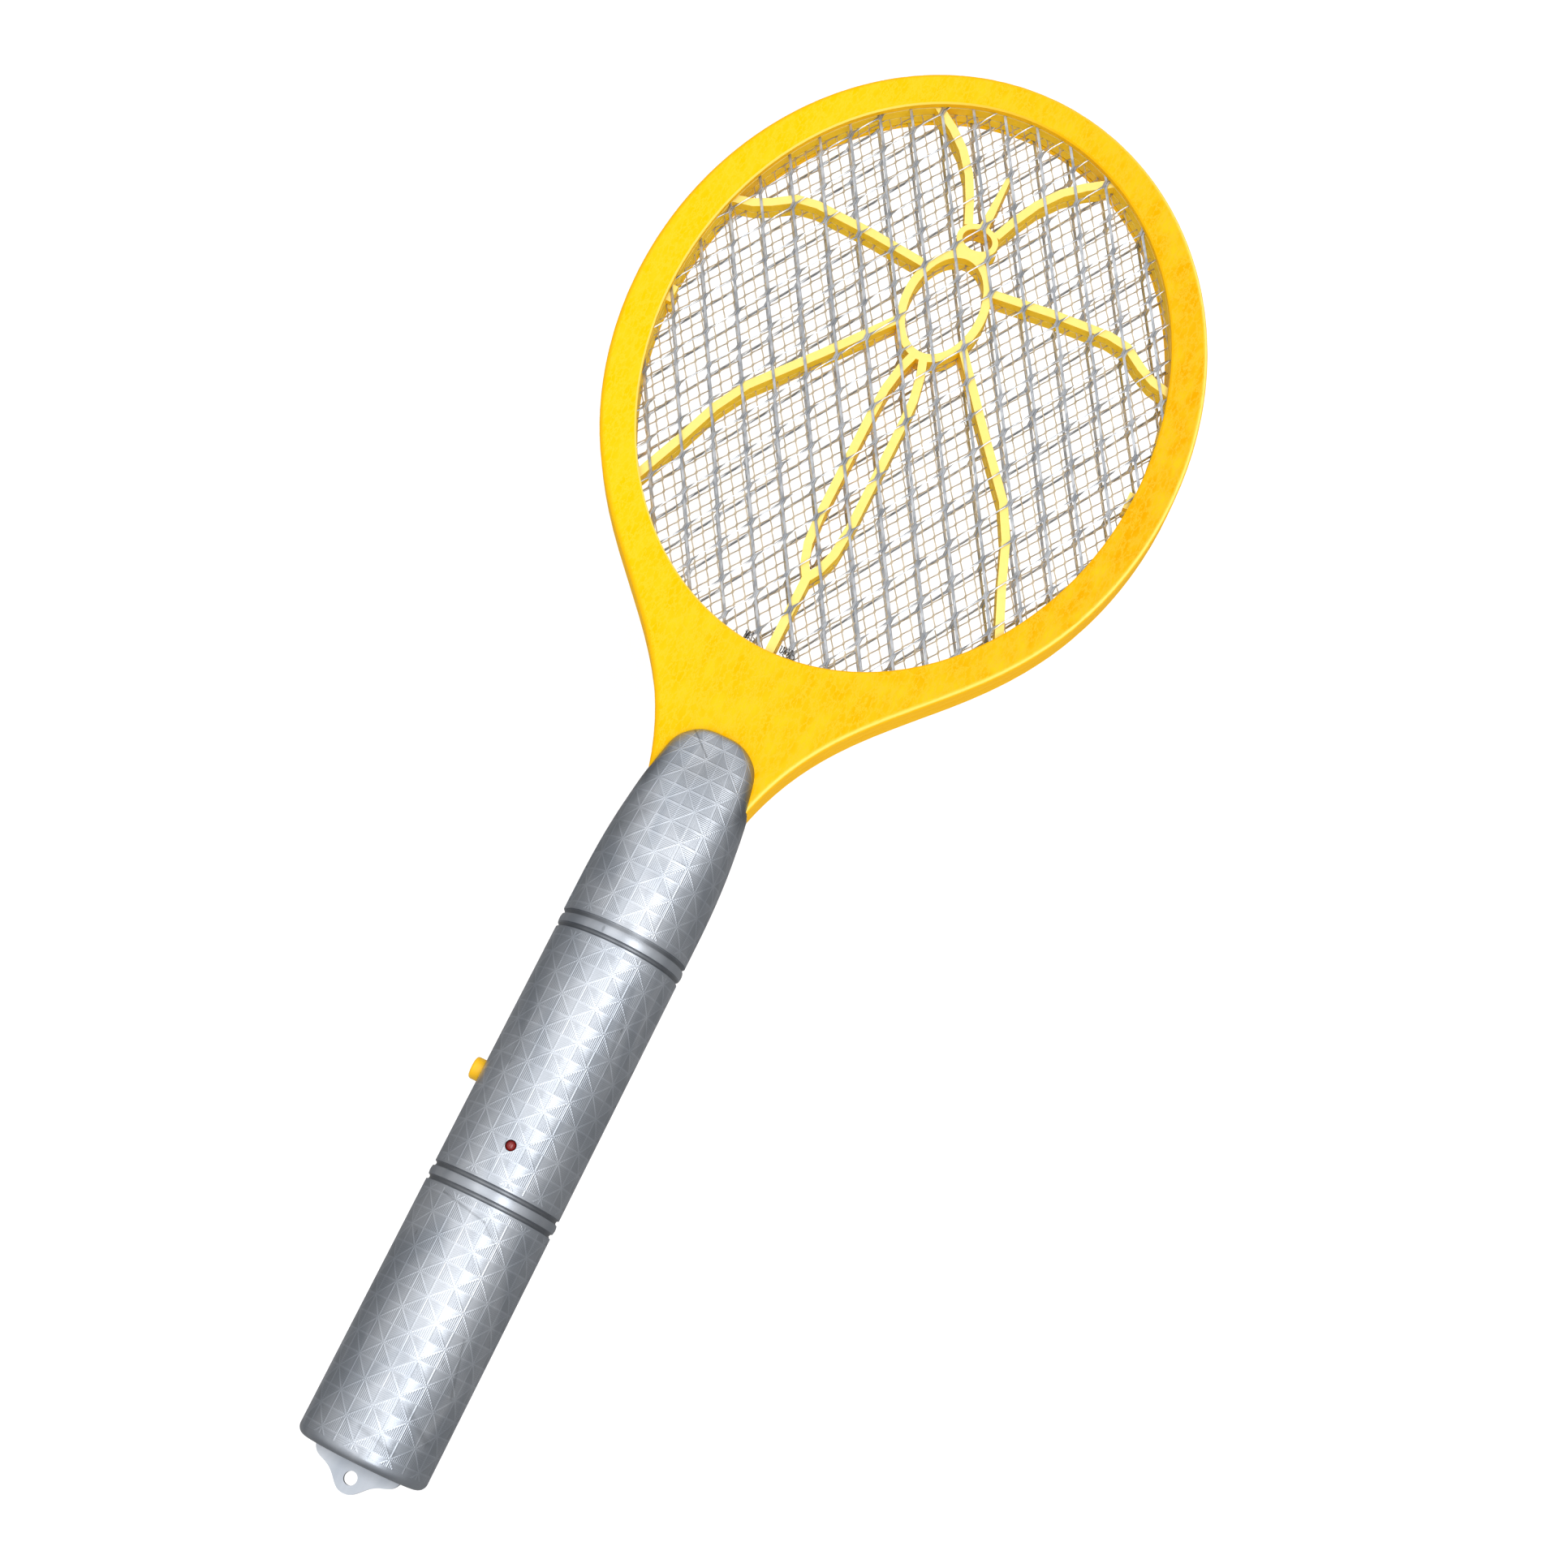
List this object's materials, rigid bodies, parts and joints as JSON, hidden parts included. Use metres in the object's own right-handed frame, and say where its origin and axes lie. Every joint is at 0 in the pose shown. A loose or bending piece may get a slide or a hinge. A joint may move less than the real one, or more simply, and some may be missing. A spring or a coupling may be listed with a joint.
{
  "type": "electric fly swatter",
  "caption": "Battery fly swatter: an oval head with layered wire grids and mosquito-shaped ribs on a round handle with a push button, a lamp, a slide-off battery door and a hanging tab.",
  "frame": {"origin": "centre of the hanging hole in the tail tab, on the racket's mid plane", "axes": "+Y along the handle towards the head, +Z out of the front face, push button on the -X side"},
  "size_m": [0.1746, 0.4593, 0.0388],
  "materials": {
    "yellow_plastic": "satin with a fine leathery grain on the faces",
    "rib_plastic": "satin",
    "silver_plastic": "satin metallic with moulded hatch pattern",
    "button_plastic": "satin",
    "zinc_mesh": "galvanised",
    "fine_mesh": "slightly tarnished",
    "screw_steel": "zinc plated",
    "contact_steel": "nickel plated",
    "lamp_red": "clear red epoxy",
    "cell_label": "printed sleeve",
    "board_green": "solder mask",
    "black_plastic": "matt",
    "ferrite": "sintered",
    "tape_yellow": "winding tape",
    "film_brown": "dipped epoxy",
    "resistor_tan": "lacquer",
    "lead_red": "PVC insulation",
    "lead_black": "PVC insulation",
    "lead_white": "PVC insulation",
    "solder": "dull solder",
    "dark_wire": "tinned wire, dulled"
  },
  "bodies": {
    "racket": {"front_rim_cover": "yellow_plastic", "back_rim_cover": "yellow_plastic", "rim_screws": "screw_steel", "front_grid": "zinc_mesh", "back_grid": "zinc_mesh", "centre_grid": "fine_mesh", "front_rib_frame": "rib_plastic", "back_rib_frame": "rib_plastic", "grid_ties": "dark_wire", "handle_front_shell": "silver_plastic", "handle_back_shell": "silver_plastic", "handle_screws": "screw_steel", "neck_screws": "screw_steel", "cell_left": "cell_label", "cell_right": "cell_label", "bridge_contact": "contact_steel", "positive_contact": "contact_steel", "negative_contact": "contact_steel", "contact_springs": "contact_steel", "circuit_board": "board_green", "board_screws": "screw_steel", "indicator_led": "lamp_red", "tact_switch": "black_plastic", "transformer_core": "ferrite", "transformer_coil": "tape_yellow", "storage_capacitor": "film_brown", "multiplier_capacitors": "film_brown", "rectifier_diodes": "black_plastic", "resistors": "resistor_tan", "oscillator_transistor": "black_plastic", "battery_lead_positive": "lead_red", "battery_lead_negative": "lead_black", "hv_lead_front": "lead_white", "hv_lead_centre": "lead_red", "hv_lead_back": "lead_white", "solder_joints": "solder"},
    "button": {"push_button": "button_plastic", "switch_plunger": "black_plastic"},
    "door": {"battery_door": "silver_plastic"}
  },
  "joints": [
    {"name": "button_press", "type": "slide", "parent": "racket", "child": "button", "axis": [1, 0, 0], "range_m": [0, 0.001], "stiffness_N_per_m": 1200, "springref_m": -0.0008},
    {"name": "door_slide", "type": "slide", "parent": "racket", "child": "door", "axis": [0, -1, 0], "range_m": [0, 0.078]}
  ]
}
